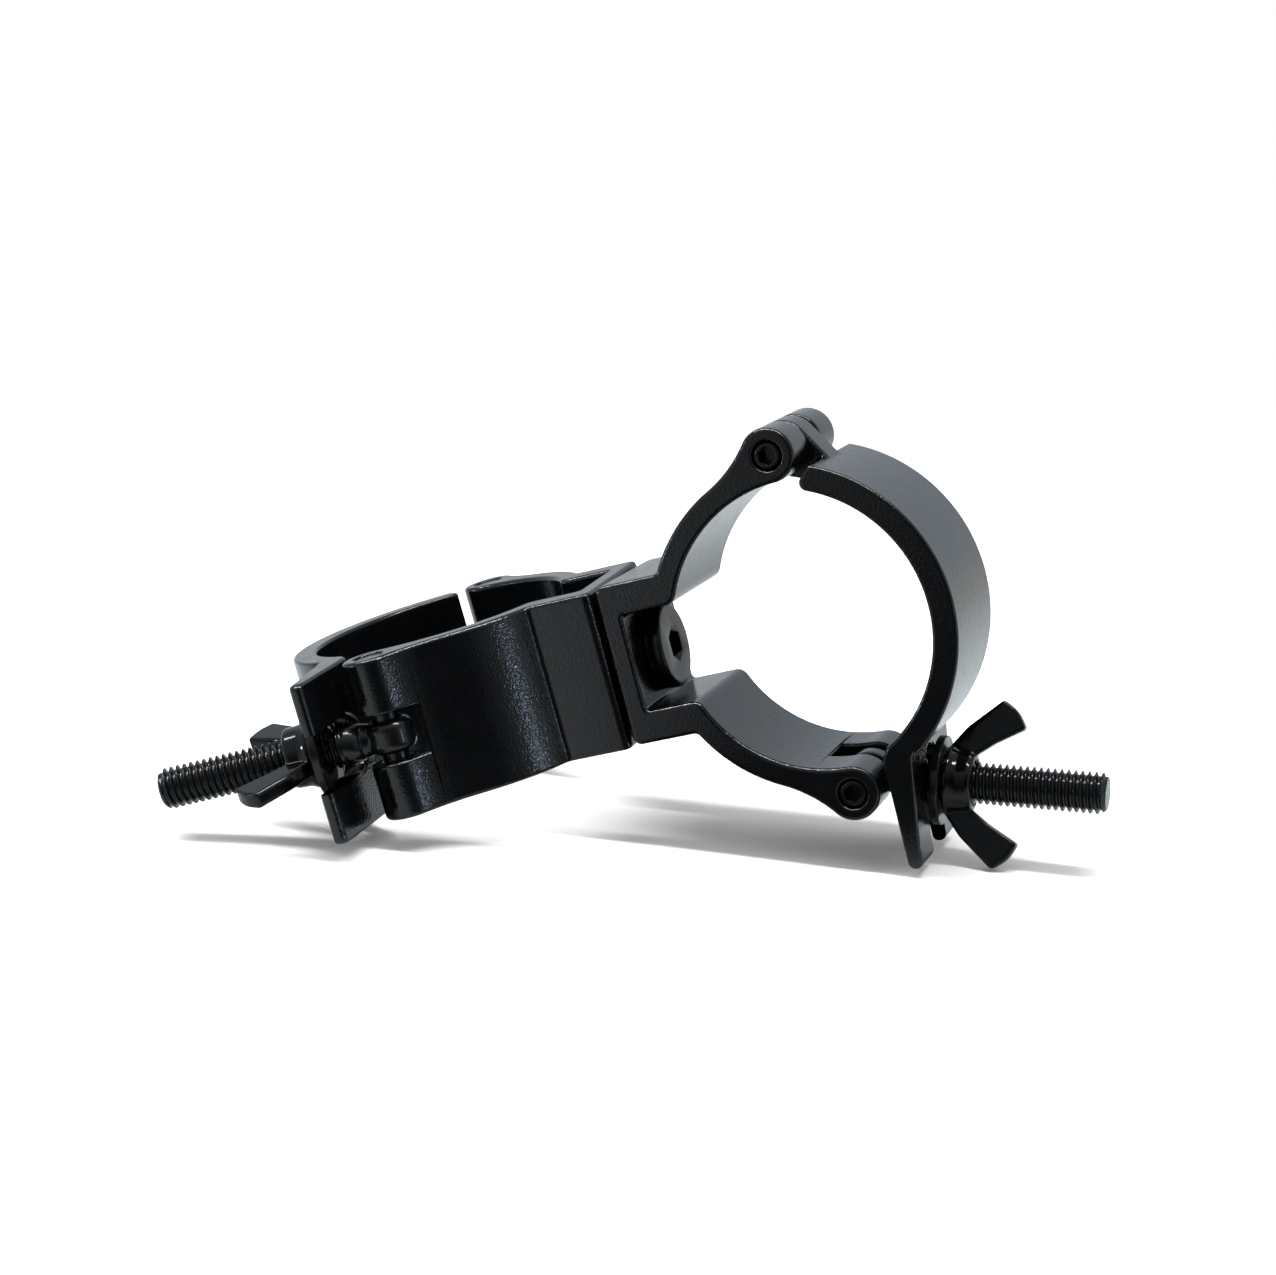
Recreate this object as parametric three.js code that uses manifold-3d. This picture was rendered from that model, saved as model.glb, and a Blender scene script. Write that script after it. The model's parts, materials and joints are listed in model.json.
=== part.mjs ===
// Double swivel coupler: two identical half couplers, back to back on a pivot bolt.
// Each half coupler is a saddle, a hinged jaw and a swinging eye bolt with a wing nut.
// Each half is drawn in its own frame (mm):
//   x runs from the swivel face out through the tube,
//   y runs along the tube,
//   z runs across the tube, from the eye bolt (-) to the hinge (+).
import * as THREE from "three";
import { mergeVertices } from "three/addons/utils/BufferGeometryUtils.js";
import Module from "manifold-3d";

// ---- Driving dimensions (mm and degrees) ----
const WIDTH = 30; // saddle and jaw, along the tube
const HALF = WIDTH / 2;
const SWIVEL_GAP = 0.9; // between the two saddles
const SWIVEL_ANGLE = 92.2; // of half b against half a

const BORE_X = 38.96; // centre of the saddle's tube seat
const PIN_X = 38.07; // both pins of a half
const PIN_Z = 31.24;
const KNUCKLE_R = 5.0;
const ARM = 4.3; // arm thickness
const BORE_R = Math.hypot(PIN_X - BORE_X, PIN_Z) - KNUCKLE_R;
const ARM_R = BORE_R + ARM;
const ARM_BLEND_R = 25; // arm into knuckle
const NECK_R = 1.2; // base block into arm
const BASE_R = 1.6; // outer corners of the base block
const FLOOR = 3.97; // saddle floor thickness
const RECESS = 9.1; // half width of the nut recess
const CLEVIS = 4.6; // half width of both clevis slots
const CLEVIS_END = 104.2; // bottom of both clevis slots, degrees round the tube seat

const PIN_R = 2.5;
const PIN_HOLE_R = 2.8;
const PIN_HALF = 14.7;
const PIN_SINK_R = 3.2;
const PIN_SINK = 0.6;
const PIN_HEX = 3; // across flats

const JAW_X = 33.2; // centre of the jaw's arc
const JAW_Z = -1.0;
const JAW_IN = 26.65;
const JAW_OUT = 31.3;
const JAW_END_R = 7.6; // hinge end of the jaw, about the pin
const TONGUE = [-4.4, 3.5]; // sides of the hinge tongue
const TONGUE_END = 66.5; // where it joins the jaw, degrees round the jaw's arc
const FORK_SLOT = 5.5; // half width of the fork slot
const FORK_SLOT_Z = -33.2; // centre of the slot's round end
const FORK_END = -47.0;
const PRONG_R = 1.2; // outer corners of the fork

const BOLT_TILT = 15.6; // eye bolt, out from the x axis
const BOLT_R = 3.85;
const BOLT_END = 43.4; // from the pin
const BOLT_LEAN_B = 1.0; // bolt b leans along its loose pin
const EYE_R = 4.6;
const EYE = 3.1; // half width
const WASHER_R = 8.2;
const WASHER_S = 12.35; // distances along the bolt, from the pin
const WASHER_T = 1.5;
const NUT_S = 14.1;
const NUT_BASE_R = 6.35;
const NUT_TOP_R = 5.6;
const NUT_H = 5.2;
const NUT_BORE_R = 4.2;
const WING_T = 3.0;
const WING_A = -16; // wings turned about their bolts
const WING_B = -13.5;

const PIVOT_R = 4.9;
const PIVOT_HOLE_R = 5.2;
const PIVOT_HEAD_R = 8.0;
const PIVOT_HEAD_X = 7.5; // top of the head
const PIVOT_HEX = 6;
const NUT_FLATS = 16;

// Attitude at rest on the floor, and the point that then lies over the origin.
const REST_PITCH = -16.837;
const REST_ROLL = 0.46;
const REST_SHIFT = [-5.8137, 7.4929, 33.301];

// ---- Materials ----
const finish = (color, roughness, metalness) =>
  new THREE.MeshStandardMaterial({ color, roughness, metalness });
const COAT = finish(0x17181a, 0.34, 0.35); // satin black powder coat
const STEEL = finish(0x1c1d1f, 0.38, 0.8); // blackened steel
const NYLON = finish(0x24262a, 0.6, 0);

// ---- Solids ----
const wasm = await Module();
wasm.setup();
const rad = (degrees) => (degrees * Math.PI) / 180;

// A three.js geometry as a solid that can be cut and joined.
function solid(geometry) {
  const bare = geometry.clone();
  bare.deleteAttribute("normal");
  bare.deleteAttribute("uv");
  const merged = mergeVertices(bare, 1e-4);
  return new wasm.Manifold(
    new wasm.Mesh({
      numProp: 3,
      vertProperties: new Float32Array(merged.attributes.position.array),
      triVerts: new Uint32Array(merged.index.array),
    }),
  );
}

// A solid as a named mesh.
function piece(name, body, material) {
  const { vertProperties, triVerts } = body.getMesh();
  const geometry = new THREE.BufferGeometry();
  geometry.setAttribute("position", new THREE.BufferAttribute(vertProperties, 3));
  geometry.setIndex(new THREE.BufferAttribute(triVerts, 1));
  geometry.computeVertexNormals();
  const mesh = new THREE.Mesh(geometry, material);
  mesh.name = name;
  return mesh;
}

// An [x, z] outline, extruded along y between y0 and y1.
function plate(outline, y0, y1) {
  const shape = new THREE.Shape(outline.map(([x, z]) => new THREE.Vector2(x, z)));
  const geometry = new THREE.ExtrudeGeometry(shape, {
    depth: y1 - y0,
    bevelEnabled: false,
  });
  geometry.rotateX(Math.PI / 2);
  geometry.translate(0, y1, 0);
  return solid(geometry);
}

// A cylinder along y.
function rod(x, z, radius, y0, y1, steps = 28) {
  const geometry = new THREE.CylinderGeometry(radius, radius, y1 - y0, steps);
  geometry.translate(x, (y0 + y1) / 2, z);
  return solid(geometry);
}

// A turned part about y, from its [radius, y] profile, which runs from axis to axis
// or closes on itself.
function turned(profile, steps = 32) {
  const points = profile.map(([r, y]) => new THREE.Vector2(r, y));
  return solid(new THREE.LatheGeometry(points, steps));
}

function box(x0, x1, y0, y1, z0, z1) {
  const geometry = new THREE.BoxGeometry(x1 - x0, y1 - y0, z1 - z0);
  geometry.translate((x0 + x1) / 2, (y0 + y1) / 2, (z0 + z1) / 2);
  return solid(geometry);
}

// A hexagonal prism along y.
function hexagon(x, z, flats, y0, y1) {
  return rod(x, z, flats / Math.sqrt(3), y0, y1, 6);
}

// ---- Outlines ----
// Points on a circle from angle a0 to a1, in degrees.
function arc(cx, cz, radius, a0, a1, step = 6) {
  const count = Math.max(2, Math.ceil(Math.abs(a1 - a0) / step));
  const points = [];
  for (let i = 0; i <= count; i += 1) {
    const a = rad(a0 + ((a1 - a0) * i) / count);
    points.push([cx + radius * Math.cos(a), cz + radius * Math.sin(a)]);
  }
  return points;
}

const bearing = (x0, z0, x1, z1) => (Math.atan2(z1 - z0, x1 - x0) * 180) / Math.PI;

// Where two circles cross, on the chosen side of the line between their centres.
function crossing(x0, z0, r0, x1, z1, r1, side) {
  const d = Math.hypot(x1 - x0, z1 - z0);
  const along = (r0 * r0 - r1 * r1 + d * d) / (2 * d);
  const off = side * Math.sqrt(r0 * r0 - along * along);
  const ux = (x1 - x0) / d;
  const uz = (z1 - z0) / d;
  return [x0 + ux * along - uz * off, z0 + uz * along + ux * off];
}

// A polygon of [x, z, corner radius] with its corners rounded.
function rounded(corners, step = 15) {
  const points = [];
  corners.forEach(([x, z, radius = 0], i) => {
    if (!radius) {
      points.push([x, z]);
      return;
    }
    const [px, pz] = corners[(i + corners.length - 1) % corners.length];
    const [qx, qz] = corners[(i + 1) % corners.length];
    const back = new THREE.Vector2(px - x, pz - z).normalize();
    const ahead = new THREE.Vector2(qx - x, qz - z).normalize();
    const half = Math.acos(THREE.MathUtils.clamp(back.dot(ahead), -1, 1)) / 2;
    const reach = radius / Math.sin(half);
    const middle = back.clone().add(ahead).normalize().multiplyScalar(reach);
    const run = radius / Math.tan(half);
    const a0 = Math.atan2(back.y * run - middle.y, back.x * run - middle.x);
    const a1 = Math.atan2(ahead.y * run - middle.y, ahead.x * run - middle.x);
    const turn = Math.atan2(Math.sin(a1 - a0), Math.cos(a1 - a0));
    const count = Math.max(2, Math.ceil(Math.abs(turn) / rad(step)));
    for (let k = 0; k <= count; k += 1) {
      const a = a0 + (turn * k) / count;
      points.push([x + middle.x + radius * Math.cos(a), z + middle.y + radius * Math.sin(a)]);
    }
  });
  return points;
}

// Half of the saddle's outline, from the swivel face round the arm to the recess floor.
function saddleHalf() {
  const neckZ = HALF + NECK_R;
  const neckX = BORE_X - Math.sqrt((ARM_R + NECK_R) ** 2 - neckZ ** 2);
  const neckEnd = bearing(neckX, neckZ, BORE_X, 0);
  const [blendX, blendZ] = crossing(
    BORE_X,
    0,
    ARM_R + ARM_BLEND_R,
    PIN_X,
    PIN_Z,
    KNUCKLE_R + ARM_BLEND_R,
    1,
  );
  const armFrom = bearing(BORE_X, 0, neckX, neckZ);
  const armTo = bearing(BORE_X, 0, blendX, blendZ);
  const blendFrom = bearing(blendX, blendZ, BORE_X, 0);
  const blendTo = bearing(blendX, blendZ, PIN_X, PIN_Z);
  const knuckleFrom = bearing(PIN_X, PIN_Z, blendX, blendZ);
  const knuckleTo = bearing(PIN_X, PIN_Z, BORE_X, 0);
  const seatFrom = bearing(BORE_X, 0, PIN_X, PIN_Z);
  const mouthZ = RECESS + 1.3;
  const mouthX = BORE_X - Math.sqrt(BORE_R ** 2 - mouthZ ** 2);
  const seatTo = bearing(BORE_X, 0, mouthX, mouthZ);
  return [
    ...arc(BASE_R, HALF - BASE_R, BASE_R, 180, 90, 18),
    ...arc(neckX, neckZ, NECK_R, -90, neckEnd, 18),
    ...arc(BORE_X, 0, ARM_R, armFrom, armTo, 5).slice(1),
    ...arc(blendX, blendZ, ARM_BLEND_R, blendFrom, blendTo, 5).slice(1),
    ...arc(PIN_X, PIN_Z, KNUCKLE_R, knuckleFrom, knuckleTo, 12).slice(1),
    ...arc(BORE_X, 0, BORE_R, seatFrom, seatTo, 5).slice(1),
    [mouthX - 0.5, RECESS + 0.6],
    [mouthX - 1.1, RECESS + 0.2],
    [mouthX - 1.9, RECESS],
    ...arc(FLOOR + 0.8, RECESS - 0.8, 0.8, 90, 180, 30),
  ];
}

function saddleOutline() {
  const upper = saddleHalf();
  const lower = upper.map(([x, z]) => [x, -z]).reverse();
  return [...upper, ...lower];
}

// The jaw's outline: hinge end, arc and fork.
function jawOutline() {
  const inner = crossing(JAW_X, JAW_Z, JAW_IN, PIN_X, PIN_Z, JAW_END_R, -1);
  const outer = crossing(JAW_X, JAW_Z, JAW_OUT, PIN_X, PIN_Z, JAW_END_R, -1);
  const outFrom = bearing(JAW_X, JAW_Z, ...outer) - 4;
  const inTo = bearing(JAW_X, JAW_Z, ...inner) - 5;
  const outside = arc(JAW_X, JAW_Z, JAW_OUT, outFrom, -54, 4);
  const inside = arc(JAW_X, JAW_Z, JAW_IN, -60.5, inTo, 4);
  return [
    ...outside,
    ...rounded([
      [51.0, -26.1, 0],
      [50.35, -26.9, 0],
      [47.75, -43.0, 0],
      [47.45, FORK_END, 1.3],
      [44.88, FORK_END, 1.2],
      [44.95, -27.0, 0],
      [45.15, -25.9, 0],
      [45.7, -25.1, 0],
    ]),
    ...inside.slice(0, -1),
    ...rounded([
      [...inside.at(-1), 0],
      [...inner, 1.5],
      [...outer, 1.0],
      [...outside[0], 0],
    ]).slice(0, -1),
  ];
}

// Two circles joined by their outer tangents.
function tapered(x0, z0, r0, x1, z1, r1) {
  const line = bearing(x0, z0, x1, z1);
  const spread = (Math.acos((r0 - r1) / Math.hypot(x1 - x0, z1 - z0)) * 180) / Math.PI;
  return [
    ...arc(x0, z0, r0, line + spread, line + 360 - spread, 12),
    ...arc(x1, z1, r1, line - spread, line + spread, 30),
  ];
}

// ---- Pieces of one half coupler ----
function saddle() {
  let body = plate(saddleOutline(), -HALF, HALF);
  const [[x0, z0], [x1, z1]] = [20, 50].map((radius) => [
    BORE_X + radius * Math.cos(rad(CLEVIS_END)),
    radius * Math.sin(rad(CLEVIS_END)),
  ]);
  for (const side of [1, -1]) {
    const slot = [
      [x0, side * z0],
      [60, side * z0],
      [60, side * z1],
      [x1, side * z1],
    ];
    body = body.subtract(plate(side > 0 ? slot : slot.reverse(), -CLEVIS, CLEVIS));
    const z = side * PIN_Z;
    body = body.subtract(rod(PIN_X, z, PIN_HOLE_R, -HALF - 1, HALF + 1));
    body = body.subtract(rod(PIN_X, z, PIN_SINK_R, -HALF - 1, PIN_SINK - HALF));
    body = body.subtract(rod(PIN_X, z, PIN_SINK_R, HALF - PIN_SINK, HALF + 1));
  }
  const hole = turned([
    [0, -1],
    [PIVOT_HOLE_R, -1],
    [PIVOT_HOLE_R, FLOOR + 1],
    [0, FLOOR + 1],
  ]);
  return body.subtract(hole.rotate([0, 0, -90]));
}

function jaw() {
  const tongueX = JAW_X + 29.0 * Math.cos(rad(TONGUE_END));
  const tongueZ = JAW_Z + 29.0 * Math.sin(rad(TONGUE_END));
  const tongue = tapered(PIN_X, PIN_Z, KNUCKLE_R, tongueX, tongueZ, 2.15);
  const slot = [
    [38, -52],
    [56, -52],
    [56, FORK_SLOT_Z],
    [38, FORK_SLOT_Z],
  ];
  const slotEnd = new THREE.CylinderGeometry(FORK_SLOT, FORK_SLOT, 18, 36);
  slotEnd.rotateZ(Math.PI / 2);
  slotEnd.translate(47, 0, FORK_SLOT_Z);
  const front = rounded([
    [-HALF, 50, 0],
    [-HALF, FORK_END, PRONG_R],
    [HALF, FORK_END, PRONG_R],
    [HALF, 50, 0],
  ]);
  const shape = new THREE.Shape(front.map(([y, z]) => new THREE.Vector2(y, z)));
  const trim = new THREE.ExtrudeGeometry(shape, { depth: 80, bevelEnabled: false });
  trim.applyMatrix4(
    new THREE.Matrix4().makeBasis(
      new THREE.Vector3(0, 1, 0),
      new THREE.Vector3(0, 0, 1),
      new THREE.Vector3(1, 0, 0),
    ),
  );
  return plate(jawOutline(), -HALF, HALF)
    .intersect(solid(trim))
    .add(plate(tongue, ...TONGUE))
    .subtract(rod(PIN_X, PIN_Z, PIN_HOLE_R, -HALF, HALF))
    .subtract(plate(slot, -FORK_SLOT, FORK_SLOT))
    .subtract(solid(slotEnd));
}

// A pin along y, with a hex socket in its near end.
function pin() {
  const end = PIN_HALF;
  return turned(
    [
      [0, -end],
      [PIN_R - 0.4, -end],
      [PIN_R, 0.4 - end],
      [PIN_R, end - 0.4],
      [PIN_R - 0.4, end],
      [0, end],
    ],
    28,
  ).subtract(hexagon(0, 0, PIN_HEX, -end - 1, 2.6 - end));
}

// ---- Pieces on the bolt: y runs out along the bolt from the pin, z along the pin ----
function eyeBolt() {
  const eye = solid(
    new THREE.CylinderGeometry(EYE_R, EYE_R, 2 * EYE, 36).rotateX(Math.PI / 2),
  );
  const hole = solid(
    new THREE.CylinderGeometry(PIN_HOLE_R, PIN_HOLE_R, 3 * EYE, 28).rotateX(Math.PI / 2),
  );
  const shank = turned([
    [0, 3.4],
    [EYE, 3.4],
    [BOLT_R, 5.4],
    [BOLT_R, BOLT_END - 1],
    [BOLT_R - 0.9, BOLT_END],
    [0, BOLT_END],
  ]);
  return shank.add(eye).subtract(hole);
}

function ring(inner, outer, y0, y1, steps = 36) {
  return turned(
    [
      [inner, y0],
      [outer, y0],
      [outer, y1],
      [inner, y1],
      [inner, y0],
    ],
    steps,
  );
}

// The wing nut stands on y = 0, its wings in the x-y plane.
function wingNut() {
  const barrel = turned([
    [0, 0],
    [NUT_BASE_R, 0],
    [NUT_BASE_R, 0.8],
    [NUT_TOP_R + 0.2, 2.0],
    [NUT_TOP_R, NUT_H - 0.8],
    [NUT_TOP_R - 0.25, NUT_H - 0.25],
    [NUT_TOP_R - 0.8, NUT_H],
    [0, NUT_H],
  ]);
  const wing = rounded([
    [2.5, 0.3],
    [6.3, 0.3, 2],
    [10.0, 3.2, 7],
    [15.4, 9.4, 0.7],
    [13.6, 12.2, 6],
    [10.4, 13.9, 0.7],
    [7.3, 8.4, 8],
    [4.6, 4.7],
    [2.5, 4.7],
  ]);
  const shape = new THREE.Shape(wing.map(([x, y]) => new THREE.Vector2(x, y)));
  const flat = new THREE.ExtrudeGeometry(shape, {
    depth: WING_T,
    bevelEnabled: false,
  }).translate(0, 0, -WING_T / 2);
  const other = flat.clone().rotateY(Math.PI);
  return barrel
    .add(solid(flat))
    .add(solid(other))
    .subtract(ring(0, NUT_BORE_R, -1, NUT_H + 1));
}

// ---- Assembly ----
function half(letter, wings, lean) {
  const group = new THREE.Group();
  group.add(piece(`saddle_${letter}`, saddle(), COAT));
  group.add(piece(`jaw_${letter}`, jaw(), COAT));
  const hingePin = piece(`hinge_pin_${letter}`, pin(), STEEL);
  hingePin.position.set(PIN_X, 0, PIN_Z);
  const boltPin = piece(`bolt_pin_${letter}`, pin(), STEEL);
  boltPin.position.set(PIN_X, 0, -PIN_Z);
  group.add(hingePin, boltPin);

  const tilt = rad(BOLT_TILT);
  const across = new THREE.Vector3(Math.sin(tilt), 0, Math.cos(tilt));
  const along = new THREE.Vector3(Math.cos(tilt), 0, -Math.sin(tilt));
  const frame = new THREE.Matrix4().makeBasis(across, along, new THREE.Vector3(0, 1, 0));
  frame.multiply(new THREE.Matrix4().makeRotationX(rad(lean)));
  const swing = new THREE.Group();
  swing.quaternion.setFromRotationMatrix(frame);
  swing.position.set(PIN_X, 0, -PIN_Z);
  swing.add(piece(`eye_bolt_${letter}`, eyeBolt(), STEEL));
  const washer = ring(4.4, WASHER_R, WASHER_S, WASHER_S + WASHER_T);
  swing.add(piece(`washer_${letter}`, washer, STEEL));
  const nut = piece(`wing_nut_${letter}`, wingNut(), COAT);
  nut.position.set(0, NUT_S, 0);
  nut.rotation.set(0, rad(wings), 0);
  swing.add(nut);
  group.add(swing);
  return group;
}

// The pivot: y runs from half b's recess to half a's, 0 midway between the saddles.
function pivot() {
  const group = new THREE.Group();
  const mid = SWIVEL_GAP / 2;
  const headTop = PIVOT_HEAD_X + mid;
  const head = turned([
    [0, -12.6],
    [PIVOT_R - 0.7, -12.6],
    [PIVOT_R, -11.9],
    [PIVOT_R, headTop - 2.5],
    [PIVOT_HEAD_R, headTop - 2.5],
    [PIVOT_HEAD_R, headTop - 0.5],
    [PIVOT_HEAD_R - 0.5, headTop],
    [0, headTop],
  ]);
  const socket = hexagon(0, 0, PIVOT_HEX, headTop - 2.2, headTop + 1);
  group.add(piece("pivot_bolt", head.subtract(socket), STEEL));
  const floor = FLOOR + mid;
  const bore = PIVOT_HOLE_R;
  group.add(piece("pivot_head_washer", ring(bore, 7.9, floor + 0.25, floor + 0.85), STEEL));
  group.add(piece("pivot_shim", ring(bore, 13, -0.15, 0.15), NYLON));
  group.add(piece("pivot_nut_washer", ring(bore, 8.6, -floor - 1.05, -floor - 0.25), STEEL));
  const flats = hexagon(0, 0, NUT_FLATS, -floor - 6.6, -floor - 1.3);
  const collar = ring(0, 7.4, -floor - 8.2, -floor - 6.0);
  const nut = flats
    .add(collar)
    .subtract(ring(0, bore, -20, 0))
    .subtract(ring(0, 6.5, -floor - 7.7, -floor - 6.3));
  group.add(piece("pivot_nut", nut, STEEL));
  group.add(piece("pivot_nut_insert", ring(bore, 6.2, -floor - 7.4, -floor - 6.6), NYLON));
  group.rotation.set(0, 0, -Math.PI / 2);
  return group;
}

const coupler = new THREE.Group();
const halfA = half("a", WING_A, 0);
halfA.position.set(SWIVEL_GAP / 2, 0, 0);
const halfB = half("b", WING_B, BOLT_LEAN_B);
const turn = rad(SWIVEL_ANGLE);
const basisB = new THREE.Matrix4().makeBasis(
  new THREE.Vector3(-1, 0, 0),
  new THREE.Vector3(0, Math.cos(turn), Math.sin(turn)),
  new THREE.Vector3(0, Math.sin(turn), -Math.cos(turn)),
);
halfB.quaternion.setFromRotationMatrix(basisB);
halfB.position.set(-SWIVEL_GAP / 2, 0, 0);
coupler.add(halfA, halfB, pivot());

const pitched = new THREE.Group();
pitched.rotation.set(0, rad(REST_PITCH), 0);
pitched.add(coupler);
const rolled = new THREE.Group();
rolled.rotation.set(rad(REST_ROLL), 0, 0);
rolled.position.set(...REST_SHIFT);
rolled.add(pitched);

const part = new THREE.Group();
part.add(rolled);
export default part;
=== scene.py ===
"""The looks of a double swivel coupler: two cast half couplers on a pivot bolt, coated black.

Each piece is drawn in millimetres in its sub-assembly's own frame and then placed by the
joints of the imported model. In a half coupler's frame
    x runs from the swivel face out through the tube,
    y runs along the tube,
    z runs across the tube, from the eye bolt (-) to the hinge (+).
On a bolt, y runs out along the bolt from its pin and z runs along the pin.
"""

import json
import math

import bmesh
import bpy
from mathutils import Matrix, Vector


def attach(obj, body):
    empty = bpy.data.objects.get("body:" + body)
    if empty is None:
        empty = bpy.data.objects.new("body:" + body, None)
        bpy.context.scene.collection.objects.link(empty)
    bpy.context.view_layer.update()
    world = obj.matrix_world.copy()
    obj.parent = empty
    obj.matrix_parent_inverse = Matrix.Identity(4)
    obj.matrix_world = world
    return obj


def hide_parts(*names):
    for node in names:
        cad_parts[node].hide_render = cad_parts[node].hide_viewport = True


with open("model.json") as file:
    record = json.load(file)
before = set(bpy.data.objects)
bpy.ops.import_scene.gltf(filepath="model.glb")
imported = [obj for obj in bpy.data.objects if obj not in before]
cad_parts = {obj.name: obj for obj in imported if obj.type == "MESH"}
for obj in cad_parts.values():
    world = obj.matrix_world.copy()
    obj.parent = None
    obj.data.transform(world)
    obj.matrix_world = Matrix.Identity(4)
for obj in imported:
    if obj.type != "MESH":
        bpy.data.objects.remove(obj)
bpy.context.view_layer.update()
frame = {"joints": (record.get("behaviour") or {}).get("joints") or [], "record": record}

# ---- Driving dimensions (mm and degrees) ----
MM = 0.001
WIDTH = 30.0  # saddle and jaw, along the tube
HALF = WIDTH / 2
SWIVEL_GAP = 0.9  # between the two saddles

BORE_X = 38.96  # centre of the saddle's tube seat
PIN_X = 38.07  # both pins of a half
PIN_Z = 31.24
KNUCKLE_R = 5.0
ARM = 4.3  # arm thickness
BORE_R = math.hypot(PIN_X - BORE_X, PIN_Z) - KNUCKLE_R
ARM_R = BORE_R + ARM
ARM_BLEND_R = 25.0  # hollow between the arm and its knuckle
NECK_R = 1.2  # corner between the arm and the base
BASE_R = 1.6  # corners of the swivel face
FLOOR = 3.97  # saddle floor thickness
RECESS = 9.1  # half width of the nut recess
RECESS_R = 0.8  # corners of the recess
MOUTH = 1.3  # how far each side of the recess flares into the tube seat
CLEVIS = 4.6  # half width of both clevis slots
CLEVIS_END = 104.2  # bottom of both clevis slots, degrees round the tube seat

PIN_R = 2.5
PIN_HOLE_R = 2.8
PIN_FLARE = 0.4  # mouths of the pin holes
PIN_HALF = 14.7  # half length
PIN_CHAMFER = 0.4
PIN_HEX = 3.0
PIN_HEX_DEPTH = 2.6

JAW_X = 33.2  # centre of the jaw's arc
JAW_Z = -1.0
JAW_IN = 26.65
JAW_OUT = 31.3
JAW_END_R = 7.6  # how far from the hinge pin's centre the jaw's arc stops
JAW_IN_FORK = -60.5  # fork ends of the jaw's inner and outer arcs, in degrees
JAW_OUT_FORK = -54.0
TONGUE = (-4.4, 3.5)  # sides of the hinge tongue
TONGUE_END = 66.5  # where it joins the jaw, degrees round the jaw's arc
TONGUE_TIP = 29.0  # centre of its end, from the centre of the jaw's arc
TONGUE_TIP_R = 2.26
FLANGE_X = 47.0  # middle of the fork flange
FORK_SLOT = 5.5  # half width of the fork slot
FORK_SLOT_Z = -33.2  # centre of the slot's round end
FORK_END = -47.0
PRONG_R = 1.2  # outer corners of the fork

BOLT_R = 3.85
SHANK_FROM = 5.6  # distances along the bolt from its pin
THREAD_FROM = 8.6
BOLT_END = 43.4
THREAD_PITCH = 1.25
THREAD_DEPTH = 0.6134  # in pitches
BOLT_CHAMFER = 0.9
EYE_R = 4.6
EYE = 3.1  # half width
EYE_RIM = 1.9
SHANK_R = 3.5  # plain neck between eye and thread
WASHER_R = 8.2
WASHER_HOLE_R = 4.4
WASHER_S = 12.35  # near face, along the bolt from its pin
WASHER_T = 1.5
NUT_S = 14.1  # near face, along the bolt from its pin
NUT_BASE_R = 6.35
NUT_TOP_R = 5.6
NUT_H = 5.2
NUT_BORE_R = 4.0
WING_T = 3.0
CAST_VOXEL = 0.16  # the nut is remeshed this finely, so that its wings blend in
CAST_SMOOTHING = 5
WING_TURN = {"a": -16.0, "b": -13.5}

PIVOT_R = 4.9
PIVOT_PITCH = 1.5
PIVOT_THREAD_FROM = 2.0  # distances from midway between the saddles
PIVOT_END = 12.6
PIVOT_CHAMFER = 0.7
PIVOT_HOLE_R = 5.2
PIVOT_HEAD_R = 8.0
PIVOT_HEAD_X = 7.5  # top of the head, from half a's swivel face
PIVOT_HEX = 6.0
PIVOT_HEX_DEPTH = 2.2
HEAD_WASHER_R = 7.9
NUT_WASHER_R = 8.6
SHIM_R = 13.0
SHIM = 0.15  # half thickness
NUT_FLATS = 16.0
NUT_FROM = 1.3  # distances below the recess floor
NUT_TO = 6.6
COLLAR_TO = 8.2
COLLAR_R = 7.4
GROOVE_R = 6.5
INSERT_R = 6.2

RIM = 0.8  # cast edges
JAW_RIM = 0.6
CUT_RIM = 0.6  # edges of slots and holes
TURNED_RIM = 0.2  # edges of the eye bolts' washers
FINE_RIM = 0.12  # edges of the pins, the lock nut and the pivot's washers
SHARP = 35  # edges that bend more than this are rounded


# ---- Outlines ----
def arc(cx, cz, radius, start, end, step=3.0):
    """Points on a circle from one angle to another."""
    count = max(2, math.ceil(abs(end - start) / step))
    angles = [math.radians(start + (end - start) * i / count) for i in range(count + 1)]
    return [(cx + radius * math.cos(a), cz + radius * math.sin(a)) for a in angles]


def bearing(x0, z0, x1, z1):
    """The direction from one point to another, in degrees."""
    return math.degrees(math.atan2(z1 - z0, x1 - x0))


def crossing(x0, z0, r0, x1, z1, r1, side):
    """Where two circles cross, on the chosen side of the line between their centres."""
    d = math.hypot(x1 - x0, z1 - z0)
    along = (r0 * r0 - r1 * r1 + d * d) / (2 * d)
    off = side * math.sqrt(r0 * r0 - along * along)
    ux, uz = (x1 - x0) / d, (z1 - z0) / d
    return x0 + ux * along - uz * off, z0 + uz * along + ux * off


def rounded(corners, step=12.0):
    """A polygon of (x, z, corner radius) with its corners rounded."""
    points = []
    for i, (x, z, radius) in enumerate(corners):
        corner = Vector((x, z))
        if not radius:
            points.append((x, z))
            continue
        back = (Vector(corners[i - 1][:2]) - corner).normalized()
        ahead = (Vector(corners[(i + 1) % len(corners)][:2]) - corner).normalized()
        half = math.acos(max(-1.0, min(1.0, back.dot(ahead)))) / 2
        middle = (back + ahead).normalized() * (radius / math.sin(half))
        run = radius / math.tan(half)
        first, last = back * run - middle, ahead * run - middle
        start = math.degrees(math.atan2(first.y, first.x))
        turn = math.degrees(math.atan2(last.y, last.x)) - start
        turn = (turn + 180) % 360 - 180
        centre = corner + middle
        points += arc(centre.x, centre.y, radius, start, start + turn, step)
    return points


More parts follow.
